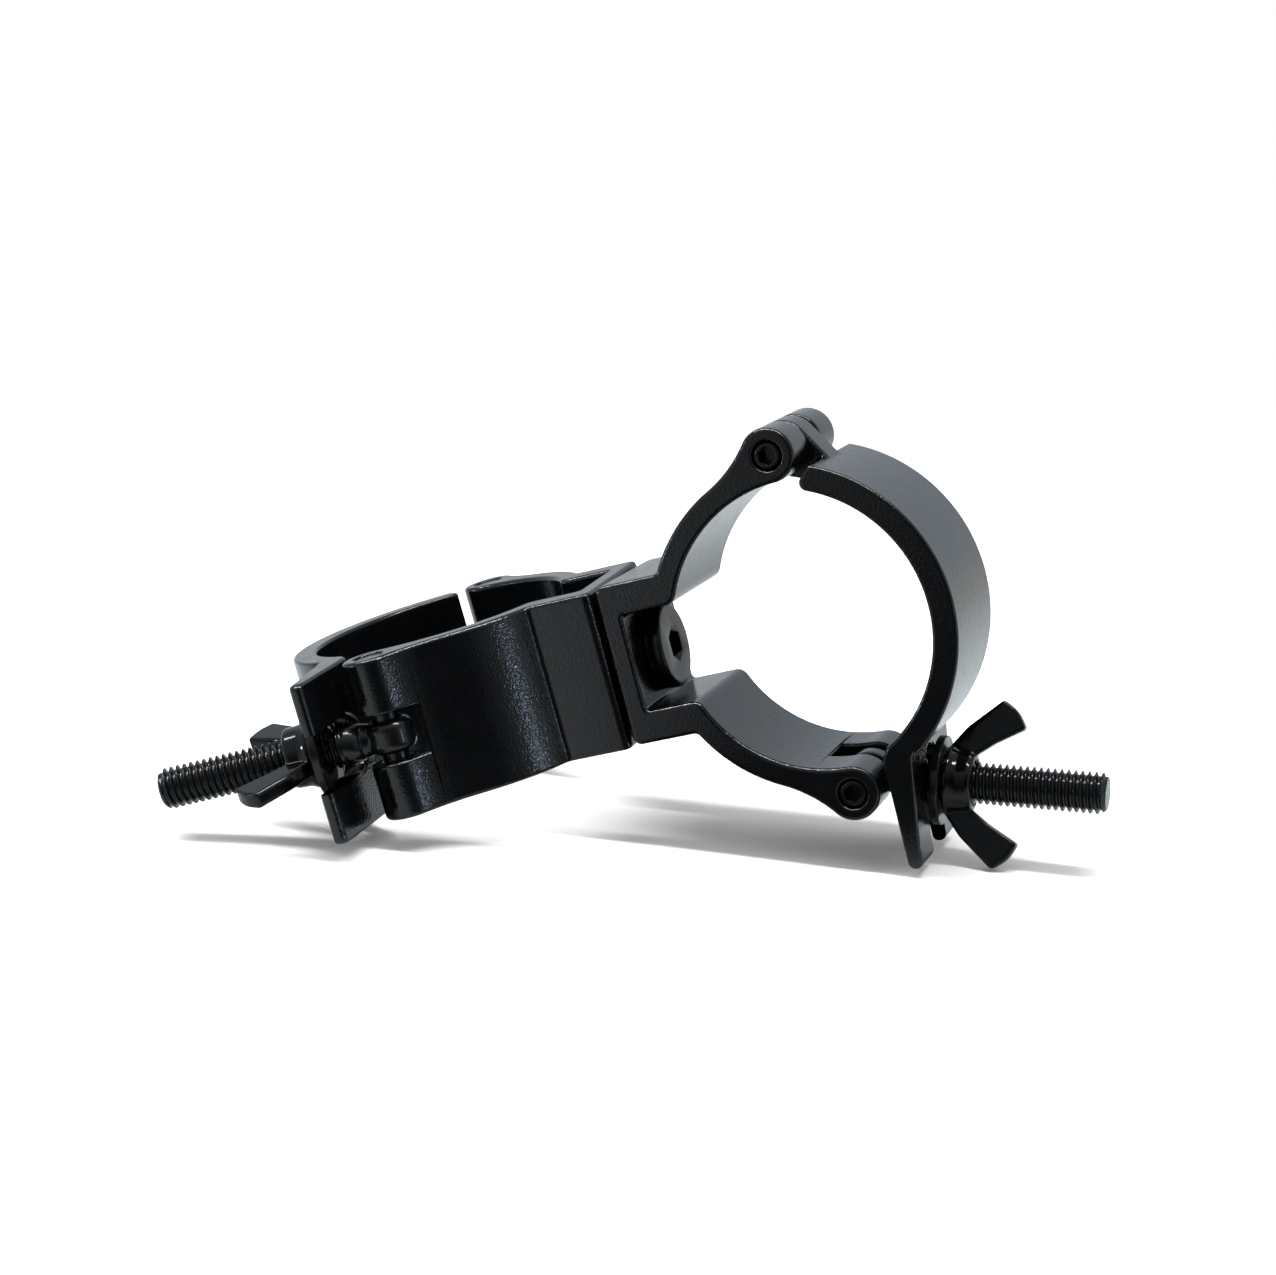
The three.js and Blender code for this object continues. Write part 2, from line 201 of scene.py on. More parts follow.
def saddle_half():
    """Half of the saddle's outline, from the swivel face round the arm to the recess floor."""
    neck_z = HALF + NECK_R
    neck_x = BORE_X - math.sqrt((ARM_R + NECK_R) ** 2 - neck_z**2)
    neck_end = bearing(neck_x, neck_z, BORE_X, 0)
    blend = crossing(BORE_X, 0, ARM_R + ARM_BLEND_R, PIN_X, PIN_Z, KNUCKLE_R + ARM_BLEND_R, 1)
    arm_from = bearing(BORE_X, 0, neck_x, neck_z)
    arm_to = bearing(BORE_X, 0, *blend)
    blend_from = bearing(*blend, BORE_X, 0)
    blend_to = bearing(*blend, PIN_X, PIN_Z)
    knuckle_from = bearing(PIN_X, PIN_Z, *blend)
    knuckle_to = bearing(PIN_X, PIN_Z, BORE_X, 0)
    mouth_z = RECESS + MOUTH
    mouth_x = BORE_X - math.sqrt(BORE_R**2 - mouth_z**2)
    seat_from = bearing(BORE_X, 0, PIN_X, PIN_Z)
    seat_to = bearing(BORE_X, 0, mouth_x, mouth_z)
    return (
        arc(BASE_R, HALF - BASE_R, BASE_R, 180, 90, 15)
        + arc(neck_x, neck_z, NECK_R, -90, neck_end, 12)
        + arc(BORE_X, 0, ARM_R, arm_from, arm_to, 1.0)
        + arc(*blend, ARM_BLEND_R, blend_from, blend_to, 1.0)
        + arc(PIN_X, PIN_Z, KNUCKLE_R, knuckle_from, knuckle_to, 5.0)
        + arc(BORE_X, 0, BORE_R, seat_from, seat_to, 1.5)
        + [(mouth_x - 0.5, RECESS + 0.6), (mouth_x - 1.1, RECESS + 0.2)]
        + [(mouth_x - 1.9, RECESS)]
        + arc(FLOOR + RECESS_R, RECESS - RECESS_R, RECESS_R, 90, 180, 15)
    )


def saddle_outline():
    """The whole outline: the half and its mirror image."""
    upper = saddle_half()
    return upper + [(x, -z) for x, z in reversed(upper)]


def jaw_outline(trim=0.0):
    """The arc, the fork, cut short by trim, and the hinge end."""
    inner = crossing(JAW_X, JAW_Z, JAW_IN, PIN_X, PIN_Z, JAW_END_R, -1)
    outer = crossing(JAW_X, JAW_Z, JAW_OUT, PIN_X, PIN_Z, JAW_END_R, -1)
    outside = arc(JAW_X, JAW_Z, JAW_OUT, bearing(JAW_X, JAW_Z, *outer) - 4, JAW_OUT_FORK, 2.0)
    inside = arc(JAW_X, JAW_Z, JAW_IN, JAW_IN_FORK, bearing(JAW_X, JAW_Z, *inner) - 5, 2.0)
    fork = [
        (51.0, -26.1, 0),
        (50.35, -26.9, 0),
        (47.75, -43.0, 0),
        (47.45, FORK_END, 1.3),
        (44.88, FORK_END, 1.2),
        (44.95, -27.0, 0),
        (45.15, -25.9, 0),
        (45.7, -25.1, 0),
    ]
    end = [(*inside[-1], 0), (*inner, 1.5), (*outer, 1.0), (*outside[0], 0)]
    tip = [(x, z + trim if z < FORK_END + 3 else z) for x, z in rounded(fork)]
    return outside + tip + inside[:-1] + rounded(end)[:-1]


def tapered(x0, z0, r0, x1, z1, r1):
    """Two circles joined by their outer tangents."""
    line = bearing(x0, z0, x1, z1)
    tangent = math.degrees(math.acos((r0 - r1) / math.hypot(x1 - x0, z1 - z0)))
    near = arc(x0, z0, r0, line + tangent, line + 360 - tangent, 9)
    return near + arc(x1, z1, r1, line - tangent, line + tangent, 15)


def inset(points, depth):
    """A counter-clockwise outline moved inwards."""
    moved = []
    for i, point in enumerate(points):
        here = Vector(point)
        back = (here - Vector(points[i - 1])).normalized()
        ahead = (Vector(points[(i + 1) % len(points)]) - here).normalized()
        n0, n1 = Vector((-back.y, back.x)), Vector((-ahead.y, ahead.x))
        shift = (n0 + n1) / max(0.3, 1 + n0.dot(n1))
        moved.append(here + shift * depth)
    return moved


# ---- Solids ----
def bridge(bm, rings, closed=False):
    """Quads between each ring of vertices and the next."""
    pairs = list(zip(rings, rings[1:])) + ([(rings[-1], rings[0])] if closed else [])
    for near, far in pairs:
        count = len(near)
        for i in range(count):
            bm.faces.new((near[i], near[(i + 1) % count], far[(i + 1) % count], far[i]))


def rim_layers(y0, y1, rim, steps):
    """(inset, y) of the layers that round the rims of a slab from y0 to y1."""
    quarter = [math.pi / 2 * k / steps for k in range(steps + 1)]
    bends = [(rim * (1 - math.sin(a)), rim * (1 - math.cos(a))) for a in quarter]
    near = [(depth, y0 + rise) for depth, rise in bends]
    return near + [(depth, y1 - rise) for depth, rise in reversed(bends)]


def lofted(layers, outline_at):
    """A solid through an (x, z) outline at each (inset, y) layer."""
    bm = bmesh.new()
    rings = []
    for depth, y in layers:
        outline = outline_at(y)
        points = [p for i, p in enumerate(outline) if math.dist(p, outline[i - 1]) > 0.02]
        area = sum(a[0] * b[1] - b[0] * a[1] for a, b in zip(points, points[1:] + points[:1]))
        if area < 0:
            points.reverse()
        rings.append([bm.verts.new((p[0], y, p[1])) for p in inset(points, depth)])
    bridge(bm, rings)
    bm.faces.new(rings[0])
    bm.faces.new(rings[-1])
    bmesh.ops.recalc_face_normals(bm, faces=bm.faces)
    return bm


def slab(outline, y0, y1, rim=RIM, steps=4):
    """An (x, z) outline thickened from y0 to y1, with its rims rounded."""
    return lofted(rim_layers(y0, y1, rim, steps), lambda y: outline)


def prism(outline, y0, y1):
    """An (x, z) outline thickened from y0 to y1, with sharp rims."""
    return lofted([(0, y0), (0, y1)], lambda y: outline)


def turned(profile, steps=64, closed=False):
    """A part turned about y from its (radius, y) profile, or a ring if the profile closes."""
    bm = bmesh.new()
    angles = [2 * math.pi * k / steps for k in range(steps)]
    rings = [
        [bm.verts.new((r * math.cos(a), y, r * math.sin(a))) for a in angles]
        for r, y in profile
    ]
    bridge(bm, rings, closed)
    if not closed:
        bm.faces.new(rings[0])
        bm.faces.new(rings[-1])
    bmesh.ops.recalc_face_normals(bm, faces=bm.faces)
    return bm


def rod(x, z, radius, y0, y1, steps=48):
    """A cylinder along y."""
    bm = turned([(radius, y0), (radius, y1)], steps)
    bmesh.ops.translate(bm, verts=bm.verts, vec=(x, 0, z))
    return bm


def bore(x, z, radius, y0, y1, flare, steps=5):
    """A cutter for a hole along y with rounded mouths at y0 and y1."""
    quarter = [math.pi / 2 * k / steps for k in range(steps + 1)]
    mouth = [(radius + flare * (1 - math.sin(a)), flare * (1 - math.cos(a))) for a in quarter]
    profile = [(radius + flare, y0 - 1)] + [(r, y0 + rise) for r, rise in mouth]
    profile += [(r, y1 - rise) for r, rise in reversed(mouth)] + [(radius + flare, y1 + 1)]
    bm = turned(profile, 48)
    bmesh.ops.translate(bm, verts=bm.verts, vec=(x, 0, z))
    return bm


def hexagon(flats, y0, y1):
    """A hexagonal prism along y, with two of its corners on z."""
    return turn(rod(0, 0, flats / math.sqrt(3), y0, y1, 6), 30, "Y")


def box(x0, x1, y0, y1, z0, z1):
    bm = bmesh.new()
    bmesh.ops.create_cube(bm, size=1)
    bmesh.ops.scale(bm, verts=bm.verts, vec=(x1 - x0, y1 - y0, z1 - z0))
    middle = ((x0 + x1) / 2, (y0 + y1) / 2, (z0 + z1) / 2)
    bmesh.ops.translate(bm, verts=bm.verts, vec=middle)
    return bm


def turn(bm, degrees, axis):
    bmesh.ops.rotate(bm, verts=bm.verts, matrix=Matrix.Rotation(math.radians(degrees), 3, axis))
    return bm


def shown(bm, name="work"):
    """bm as an object in the scene. bm is used up."""
    mesh = bpy.data.meshes.new(name)
    bm.to_mesh(mesh)
    bm.free()
    obj = bpy.data.objects.new(name, mesh)
    bpy.context.scene.collection.objects.link(obj)
    return obj


def settled(obj):
    """The object's mesh with its modifiers applied, as a bmesh. The object is removed."""
    bpy.context.view_layer.update()
    depsgraph = bpy.context.evaluated_depsgraph_get()
    bm = bmesh.new()
    bm.from_mesh(obj.evaluated_get(depsgraph).to_mesh())
    mesh = obj.data
    bpy.data.objects.remove(obj)
    bpy.data.meshes.remove(mesh)
    return bm


def combined(bm, tools, operation="DIFFERENCE"):
    """bm with the tools cut from it, or joined to it."""
    body = shown(bm)
    helpers = [shown(tool, "tool") for tool in tools]
    for helper in helpers:
        modifier = body.modifiers.new("combine", "BOOLEAN")
        modifier.operation = operation
        modifier.solver = "EXACT"
        modifier.object = helper
    result = settled(body)
    for helper in helpers:
        mesh = helper.data
        bpy.data.objects.remove(helper)
        bpy.data.meshes.remove(mesh)
    bmesh.ops.remove_doubles(result, verts=result.verts, dist=0.02)
    bmesh.ops.dissolve_degenerate(result, edges=result.edges, dist=0.01)
    return result


def softened(bm, width, segments=3, sharp=SHARP):
    """bm with its sharp edges rounded."""
    edges = [e for e in bm.edges if len(e.link_faces) == 2]
    edges = [e for e in edges if e.calc_face_angle(0) > math.radians(sharp)]
    bmesh.ops.bevel(
        bm,
        geom=edges,
        offset=width,
        offset_type="OFFSET",
        segments=segments,
        profile=0.5,
        affect="EDGES",
        clamp_overlap=False,
        loop_slide=True,
    )
    return bm


# ---- Pieces of one half coupler ----
def saddle():
    """The saddle with its pivot hole, clevis slots and pin holes cut."""
    bm = slab(saddle_outline(), -HALF, HALF)
    tools = [turn(rod(0, 0, PIVOT_HOLE_R, -1, FLOOR + 2), -90, "Z")]
    end = Vector((math.cos(math.radians(CLEVIS_END)), math.sin(math.radians(CLEVIS_END))))
    # The clevis cutters run well past the arm: only CLEVIS and CLEVIS_END shape the slots.
    near, far = (Vector((BORE_X, 0)) + end * radius for radius in (20, 50))
    for side in (1, -1):
        slot = [(near.x, near.y), (60, near.y), (60, far.y), (far.x, far.y)]
        tools.append(prism([(x, side * z) for x, z in slot], -CLEVIS, CLEVIS))
        tools.append(bore(PIN_X, side * PIN_Z, PIN_HOLE_R, -HALF, HALF, PIN_FLARE))
    return softened(combined(bm, tools), CUT_RIM)


def prong_trim(y):
    """How far the fork's rounded outer corners hold its end back, at y."""
    inwards = max(0.0, abs(y) - (HALF - PRONG_R))
    return PRONG_R - math.sqrt(max(0.0, PRONG_R**2 - inwards**2))


def jaw():
    """The jaw with its tongue joined on, and its fork slot and pin hole cut."""
    rims = rim_layers(-HALF, HALF, JAW_RIM, 5)
    corner = [HALF - JAW_RIM - (PRONG_R - JAW_RIM) * share for share in (0.2, 0.4, 0.7, 1.0)]
    layers = rims[:6] + [(0, -y) for y in corner] + [(0, y) for y in reversed(corner)] + rims[6:]
    plate = lofted(layers, lambda y: jaw_outline(prong_trim(y)))
    angle = math.radians(TONGUE_END)
    tip = JAW_X + TONGUE_TIP * math.cos(angle), JAW_Z + TONGUE_TIP * math.sin(angle)
    tongue = slab(tapered(PIN_X, PIN_Z, KNUCKLE_R, *tip, TONGUE_TIP_R), *TONGUE, RIM)
    near, far = FLANGE_X - 9, FLANGE_X + 9
    slot = box(near, far, -FORK_SLOT, FORK_SLOT, FORK_END - 5, FORK_SLOT_Z)
    slot_end = turn(rod(0, 0, FORK_SLOT, -9, 9), -90, "Z")
    bmesh.ops.translate(slot_end, verts=slot_end.verts, vec=(FLANGE_X, 0, FORK_SLOT_Z))
    bm = combined(plate, [tongue], "UNION")
    tools = [rod(PIN_X, PIN_Z, PIN_HOLE_R, -HALF - 1, HALF + 1), slot, slot_end]
    return softened(combined(bm, tools), CUT_RIM)


def pin():
    """A pin along y, chamfered, with a hex socket in its near end."""
    straight = PIN_HALF - PIN_CHAMFER
    nose = PIN_R - PIN_CHAMFER
    profile = [(nose, -PIN_HALF), (PIN_R, -straight), (PIN_R, straight), (nose, PIN_HALF)]
    socket = hexagon(PIN_HEX, -PIN_HALF - 1, PIN_HEX_DEPTH - PIN_HALF)
    return softened(combined(turned(profile, 48), [socket]), FINE_RIM, 2, 40)


# ---- Pieces on the bolt ----
def threaded(radius, neck, pitch, y0, thread_from, y1, chamfer, around=48):
    """A rod along y with a helical thread from thread_from to its chamfered end, y1."""
    depth = THREAD_DEPTH * pitch
    # (share of a pitch, share of the depth): crest, flank, root, flank
    groove = [(0.0, 0.06), (0.035, 0), (0.11, 0), (0.15, 0.06), (0.4, 0.92), (0.44, 1)]
    groove += [(0.69, 1), (0.73, 0.92)]
    turns = range(-2, math.ceil((y1 - thread_from) / pitch) + 2)
    bm = bmesh.new()
    grid = []
    for turn_no in turns:
        for share, level in groove:
            row = []
            for k in range(around):
                a = 2 * math.pi * k / around
                y = thread_from + (turn_no + share + k / around) * pitch
                y = min(max(y, thread_from), y1)
                runout = min(1.0, (y - thread_from) / (1.5 * pitch))
                r = min(radius - depth * level * runout, radius - chamfer + (y1 - y))
                r = min(r, neck + (y - thread_from))
                row.append(bm.verts.new((r * math.cos(a), y, -r * math.sin(a))))
            grid.append(row)
    step = len(groove)
    for i in range(len(grid) - step - 1):
        for k in range(around):
            if k < around - 1:
                quad = (grid[i][k], grid[i][k + 1], grid[i + 1][k + 1], grid[i + 1][k])
            else:
                over, under = grid[i + step][0], grid[i + step + 1][0]
                quad = (grid[i][k], over, under, grid[i + 1][k])
            bm.faces.new(quad)
    bmesh.ops.remove_doubles(bm, verts=bm.verts, dist=0.002)
    bmesh.ops.dissolve_degenerate(bm, edges=bm.edges, dist=0.001)
    foot = [e for e in bm.edges if e.is_boundary and e.verts[0].co.y < thread_from + 0.01]
    for part in bmesh.ops.extrude_edge_only(bm, edges=foot)["geom"]:
        if isinstance(part, bmesh.types.BMVert):
            part.co.y = y0
    bmesh.ops.holes_fill(bm, edges=[e for e in bm.edges if e.is_boundary])
    bmesh.ops.recalc_face_normals(bm, faces=bm.faces)
    return bm


def eye_bolt():
    """An eye round the pin, a plain neck and a threaded shank."""
    eye = slab(arc(0, 0, EYE_R, 0, 360, 6), -EYE, EYE, EYE_RIM, 7)
    turn(eye, -90, "X")
    hole = turn(rod(0, 0, PIN_HOLE_R, -9, 9), -90, "X")
    ends = SHANK_FROM, THREAD_FROM, BOLT_END
    shank = threaded(BOLT_R, SHANK_R, THREAD_PITCH, *ends, BOLT_CHAMFER)
    neck = turned([(2.9, 3.0), (3.05, 4.0), (3.3, 5.0), (SHANK_R - 0.04, 6.0), (3.0, 7.0)], 48)
    return combined(combined(shank, [neck, eye], "UNION"), [hole])


def ring(inner, outer, y0, y1, steps=72, edge=TURNED_RIM):
    """A flat ring about y with its edges rounded."""
    profile = [(inner, y0), (outer, y0), (outer, y1), (inner, y1)]
    return softened(turned(profile, steps, closed=True), edge)


def wing_nut():
    """A cast nut that stands on y = 0, with its wings in the x-y plane."""
    top, waist = NUT_H, NUT_TOP_R
    barrel = turned(
        [(NUT_BASE_R - 0.2, 0), (NUT_BASE_R, 0.2), (NUT_BASE_R, 0.8), (waist + 0.35, 1.5)]
        + [(waist + 0.1, 2.2), (waist, top - 0.9), (waist - 0.2, top - 0.35), (waist - 0.75, top)],
        72,
    )
    outline = rounded([
        (2.5, 0.3, 0),
        (6.3, 0.3, 2),
        (10.0, 3.2, 7),
        (15.4, 9.4, 0.7),
        (13.6, 12.2, 6),
        (10.4, 13.9, 0.7),
        (7.3, 8.4, 8),
        (4.6, 4.7, 0),
        (2.5, 4.7, 0),
    ])
    wings = []
    for flip in (0, 180):
        wing = turn(slab(outline, -WING_T / 2, WING_T / 2, 0.5, 4), -90, "X")
        wings.append(turn(wing, flip, "Y"))
    cast = shown(combined(barrel, wings, "UNION"))
    remesh = cast.modifiers.new("cast", "REMESH")
    remesh.mode = "VOXEL"
    remesh.voxel_size = CAST_VOXEL
    smooth = cast.modifiers.new("fillets", "SMOOTH")
    smooth.factor = 0.5
    smooth.iterations = CAST_SMOOTHING
    hole = rod(0, 0, NUT_BORE_R, -1, NUT_H + 1)
    sink = turned([(NUT_BORE_R - 0.2, NUT_H - 0.7), (NUT_BORE_R + 0.6, NUT_H + 0.1)], 48)
    return combined(settled(cast), [hole, sink])


# ---- Pivot: y runs from half b's recess to half a's, 0 midway between the saddles ----
MID = SWIVEL_GAP / 2
SEAT = FLOOR + MID


def pivot_bolt():
    """A low round head with a hex socket, on a threaded shank."""
    top = PIVOT_HEAD_X + MID
    head = turned(
        [(PIVOT_HEAD_R - 0.2, top - 2.5), (PIVOT_HEAD_R, top - 2.3)]
        + [(PIVOT_HEAD_R, top - 0.7), (PIVOT_HEAD_R - 0.25, top - 0.25)]
        + [(PIVOT_HEAD_R - 0.75, top)],
        72,
    )
    ends = 1.5 - top, PIVOT_THREAD_FROM, PIVOT_END
    shank = threaded(PIVOT_R, PIVOT_R, PIVOT_PITCH, *ends, PIVOT_CHAMFER)
    turn(shank, 180, "X")
    socket = hexagon(PIVOT_HEX, top - PIVOT_HEX_DEPTH, top + 1)
    return combined(combined(head, [shank], "UNION"), [socket])


def pivot_nut():
    """A hexagonal lock nut with a round collar, grooved for its nylon ring."""
    base, top = -SEAT - NUT_FROM, -SEAT - NUT_TO
    flats = hexagon(NUT_FLATS, top, base)
    corner = NUT_FLATS / 2 * 1.02
    chamfered = turned([(corner, top), (10.2, top + 1.1), (10.2, base - 0.5), (9.0, base)])
    body = combined(flats, [chamfered], "INTERSECT")
    collar = turned([
        (COLLAR_R - 0.5, -SEAT - COLLAR_TO),
        (COLLAR_R, -SEAT - COLLAR_TO + 0.7),
        (COLLAR_R, top + 0.6),
    ])
    hole = rod(0, 0, PIVOT_HOLE_R, -20, 0)
    groove = rod(0, 0, GROOVE_R, -SEAT - 7.7, -SEAT - 6.3)
    return softened(combined(combined(body, [collar], "UNION"), [hole, groove]), FINE_RIM, 2)


# ---- Frames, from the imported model's joints ----
JOINTS = {joint["name"]: joint for joint in frame["joints"]}


def axes(x, y, z, origin):
    """A frame in millimetres, from its axes and its origin in metres."""
    matrix = Matrix((x, y, z)).transposed().to_4x4()
    matrix.translation = origin
    return matrix @ Matrix.Scale(MM, 4)


def direction(joint):
    return Vector(JOINTS[joint]["axis"]).normalized()


def place(joint):
    return Vector(JOINTS[joint]["pos_m"])


def half_frame(letter):
    """From a half coupler's frame to the row frame."""
    out = direction("swivel") * (1 if letter == "a" else -1)
    along = direction(f"bolt_{letter}_swing")
    across = out.cross(along)
    centre = place("swivel")
    reach = (place(f"bolt_{letter}_swing") - centre).dot(out) - PIN_X * MM
    return axes(out, along, across, centre + out * reach)


def bolt_frame(letter):
    """From a bolt's frame to the row frame."""
    out = direction(f"nut_{letter}_travel")
    across = out.cross(direction(f"bolt_{letter}_swing")).normalized()
    return axes(across, out, across.cross(out), place(f"bolt_{letter}_swing"))


def pivot_frame():
    """From the pivot's frame to the row frame."""
    out = direction("swivel")
    along = direction("bolt_a_swing")
    return axes(-along, out, (-along).cross(out), place("swivel"))


# ---- Materials ----
def nodes_of(name):
    material = bpy.data.materials.new(name)
    material.use_nodes = True
    tree = material.node_tree
    return material, tree, tree.nodes["Principled BSDF"]


def noise(tree, scale, detail=2.0, rough=0.5):
    """Noise fixed to the piece, with grains of about 1 / scale metres."""
    coordinates = tree.nodes.new("ShaderNodeTexCoord")
    texture = tree.nodes.new("ShaderNodeTexNoise")
    texture.inputs["Scale"].default_value = scale
    texture.inputs["Detail"].default_value = detail
    texture.inputs["Roughness"].default_value = rough
    tree.links.new(coordinates.outputs["Object"], texture.inputs["Vector"])
    return texture.outputs["Fac"]


def spread(tree, source, low, high, start=0.3, end=0.7):
    """The source's range from start to end, stretched to run from low to high."""
    ramp = tree.nodes.new("ShaderNodeMapRange")
    ramp.inputs["From Min"].default_value = start
    ramp.inputs["From Max"].default_value = end
    ramp.inputs["To Min"].default_value = low
    ramp.inputs["To Max"].default_value = high
    tree.links.new(source, ramp.inputs["Value"])
    return ramp.outputs["Result"]


def bump(tree, shader, source, height, after=None):
    node = tree.nodes.new("ShaderNodeBump")
    node.inputs["Strength"].default_value = 1.0
    node.inputs["Distance"].default_value = height
    tree.links.new(source, node.inputs["Height"])
    if after is not None:
        tree.links.new(after, node.inputs["Normal"])
    tree.links.new(node.outputs["Normal"], shader.inputs["Normal"])
    return node.outputs["Normal"]


def tint(tree, source, dark, light):
    """A colour between two, by the source."""
    mix = tree.nodes.new("ShaderNodeMix")
    mix.data_type = "RGBA"
    mix.inputs[6].default_value = (*dark, 1)
    mix.inputs[7].default_value = (*light, 1)
    tree.links.new(source, mix.inputs["Factor"])
    return mix.outputs[2]


def coat(name, roughness, peel, grain, dark, light, ior=1.45):
    """Black powder coat: slow waves of orange peel, fine grain, and a slightly uneven gloss."""
    material, tree, shader = nodes_of(name)
    drift = noise(tree, 140, 3)
    colour = tint(tree, spread(tree, drift, 0, 1), dark, light)
    tree.links.new(colour, shader.inputs["Base Color"])
    shader.inputs["IOR"].default_value = ior
    gloss = spread(tree, noise(tree, 420, 3), roughness - 0.04, roughness + 0.05)
    tree.links.new(gloss, shader.inputs["Roughness"])
    waves = bump(tree, shader, noise(tree, 500, 1.0), peel)
    bump(tree, shader, noise(tree, 2300, 1.0), grain, waves)
    return material


def blackened(name, roughness):
    """Blackened steel, with faint tool marks and rubbed spots."""
    material, tree, shader = nodes_of(name)
    wear = spread(tree, noise(tree, 900, 4, 0.6), 0, 1, 0.45, 0.75)
    colour = tint(tree, wear, (0.003, 0.0033, 0.0036), (0.007, 0.0075, 0.0082))
    tree.links.new(colour, shader.inputs["Base Color"])
    shader.inputs["Metallic"].default_value = 0.03
    shader.inputs["IOR"].default_value = 1.4
    gloss = spread(tree, noise(tree, 700, 3), roughness - 0.05, roughness + 0.08)
    tree.links.new(gloss, shader.inputs["Roughness"])
    bump(tree, shader, noise(tree, 2600, 3, 0.6), 4e-6)
    return material


def moulded(name):
    """Dark nylon with a fine moulded grain."""
    material, tree, shader = nodes_of(name)
    colour = tint(tree, noise(tree, 500, 3), (0.022, 0.023, 0.026), (0.036, 0.037, 0.041))
    tree.links.new(colour, shader.inputs["Base Color"])
    gloss = spread(tree, noise(tree, 1500, 2), 0.48, 0.6)
    tree.links.new(gloss, shader.inputs["Roughness"])
    bump(tree, shader, noise(tree, 4000, 2), 6e-6)
    return material


FINISH = {
    "coat": coat(
        "black_powder_coat", 0.12, 1.4e-5, 5e-5, (0.0015, 0.0017, 0.0020), (0.0026, 0.0029, 0.0034)
    ),
    "nut_coat": coat(
        "gloss_black_coat", 0.1, 4e-5, 1e-5, (0.0012, 0.0013, 0.0015), (0.002, 0.0022, 0.0025), 1.34
    ),
    "black_steel": blackened("blackened_steel", 0.16),
    "nylon": moulded("dark_nylon"),
}

# ---- Assembly ----
BODIES = frame["record"]["behaviour"]["bodies"]
BODY = {node: body for body, held in BODIES.items() for node in held}
SLOT = {part["node"]: part["material_slot"] for part in frame["record"]["subparts"]}


def add(node, bm, matrix):
    """A finished piece in place of its CAD node."""
    bmesh.ops.recalc_face_normals(bm, faces=bm.faces)
    bm.transform(matrix)
    for face in bm.faces:
        face.smooth = True
    obj = shown(bm, f"{node}_finished")
    shading = obj.modifiers.new("shading", "WEIGHTED_NORMAL")
    shading.mode = "FACE_AREA"
    obj.data.materials.append(FINISH[SLOT[node]])
    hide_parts(node)
    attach(obj, BODY[node])
    return obj


for letter in "ab":
    half = half_frame(letter)
    add(f"saddle_{letter}", saddle(), half)
    add(f"jaw_{letter}", jaw(), half)
    for name, z in (("hinge_pin", PIN_Z), ("bolt_pin", -PIN_Z)):
        add(f"{name}_{letter}", pin(), half @ Matrix.Translation((PIN_X, 0, z)))
    bolt = bolt_frame(letter)
    add(f"eye_bolt_{letter}", eye_bolt(), bolt)
    washer = ring(WASHER_HOLE_R, WASHER_R, WASHER_S, WASHER_S + WASHER_T)
    add(f"washer_{letter}", washer, bolt)
    wings = Matrix.Rotation(math.radians(WING_TURN[letter]), 4, "Y")
    add(f"wing_nut_{letter}", wing_nut(), bolt @ Matrix.Translation((0, NUT_S, 0)) @ wings)

pivot = pivot_frame()
add("pivot_bolt", pivot_bolt(), pivot)
head_washer = ring(PIVOT_HOLE_R, HEAD_WASHER_R, SEAT + 0.25, SEAT + 0.85, edge=FINE_RIM)
add("pivot_head_washer", head_washer, pivot)
add("pivot_shim", ring(PIVOT_HOLE_R, SHIM_R, -SHIM, SHIM, edge=0.05), pivot)
nut_washer = ring(PIVOT_HOLE_R, NUT_WASHER_R, -SEAT - 1.05, -SEAT - 0.25, edge=FINE_RIM)
add("pivot_nut_washer", nut_washer, pivot)
add("pivot_nut", pivot_nut(), pivot)
add("pivot_nut_insert", ring(PIVOT_HOLE_R, INSERT_R, -SEAT - 7.4, -SEAT - NUT_TO, edge=0.1), pivot)


# ---- Studio (metres, degrees and watts) ----
VIEW_CENTRE = Vector((-4.73, 4.70, 36.70)) * MM
VIEW_DISTANCE = 0.53
VIEW_AZIMUTH = 17.68
VIEW_ELEVATION = 11.98
VIEW_ROLL = 1.56
LENS = 80.46  # mm, on a sensor 36 mm wide
SENSOR = 36.0

STUDIO_R = 12.0
FADE_FROM, FADE_TO = 0.22, 0.75  # the floor fades into the white surround
UNLIT = Vector((0.42, -0.91, 0.0)).normalized()  # towards the unlit side of the room
UNLIT_LEVEL = 0.07
MIRRORED_LEVEL = 0.68  # how bright the room is in reflections
MIRRORED_COLOUR = (0.82, 0.91, 1.0)
FLOOR_PALE = (0.88, 0.88, 0.88)
# the floor's colour for all but camera rays: painted shade, darker and bluer than the pale floor
FLOOR_PAINTED_SHADE = (0.58, 0.63, 0.65)

WHITE = (1.0, 1.0, 1.0)
COOL = (0.62, 0.80, 1.0)
# name: direction towards it, distance, width and height, power, colour
LAMPS = {
    "left_lamp": ((-0.88, -0.47, 0.06), 1.0, (0.05, 0.05), 1.3, COOL),
    "right_lamp": ((0.96, -0.26, 0.06), 1.0, (0.05, 0.05), 0.24, COOL),
    "top_bar": ((-0.15, -0.1, 0.95), 1.05, (1.6, 0.12), 24.0, WHITE),
}


